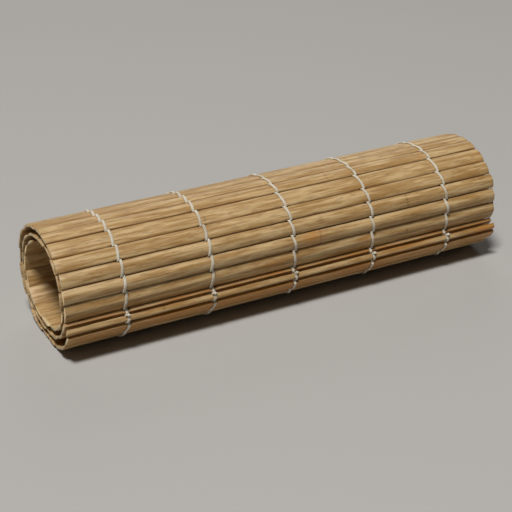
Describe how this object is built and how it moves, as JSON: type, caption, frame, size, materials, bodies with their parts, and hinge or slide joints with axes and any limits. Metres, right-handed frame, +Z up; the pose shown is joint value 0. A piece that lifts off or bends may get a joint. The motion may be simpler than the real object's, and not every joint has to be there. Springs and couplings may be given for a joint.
{
  "type": "rolled sushi mat",
  "caption": "Flat bamboo slats laced edge to edge with rows of twined cotton string, wound into a loose roll that lies on its side; unrolled, it shapes and serves rolled rice.",
  "frame": {"origin": "on the resting plane, under the middle of the roll's box", "axes": "+X along the slats, +Z up; the loose outer edge of the mat is on the -Y side, low down"},
  "size_m": [0.2406, 0.068, 0.0585],
  "materials": {
    "bamboo": "split and planed bamboo, uncoated, satin, with long grain streaks and a browner tint along the edges",
    "cotton_string": "twisted natural cotton, matt"
  },
  "bodies": {
    "root": {"slat_01": "bamboo", "slat_02": "bamboo", "slat_03": "bamboo", "slat_04": "bamboo", "slat_05": "bamboo", "slat_06": "bamboo", "slat_07": "bamboo", "slat_08": "bamboo", "slat_09": "bamboo", "slat_10": "bamboo", "slat_11": "bamboo", "slat_12": "bamboo", "slat_13": "bamboo", "slat_14": "bamboo", "slat_15": "bamboo", "slat_16": "bamboo", "slat_17": "bamboo", "slat_18": "bamboo", "slat_19": "bamboo", "slat_20": "bamboo", "slat_21": "bamboo", "slat_22": "bamboo", "slat_23": "bamboo", "slat_24": "bamboo", "slat_25": "bamboo", "slat_26": "bamboo", "slat_27": "bamboo", "slat_28": "bamboo", "slat_29": "bamboo", "slat_30": "bamboo", "slat_31": "bamboo", "slat_32": "bamboo", "slat_33": "bamboo", "slat_34": "bamboo", "slat_35": "bamboo", "slat_36": "bamboo", "slat_37": "bamboo", "slat_38": "bamboo", "slat_39": "bamboo", "slat_40": "bamboo", "slat_41": "bamboo", "slat_42": "bamboo", "slat_43": "bamboo", "slat_44": "bamboo", "slat_45": "bamboo", "slat_46": "bamboo", "slat_47": "bamboo", "slat_48": "bamboo", "slat_49": "bamboo", "slat_50": "bamboo", "slat_51": "bamboo", "slat_52": "bamboo", "slat_53": "bamboo", "string_row_1": "cotton_string", "string_row_2": "cotton_string", "string_row_3": "cotton_string", "string_row_4": "cotton_string", "string_row_5": "cotton_string"}
  },
  "joints": []
}
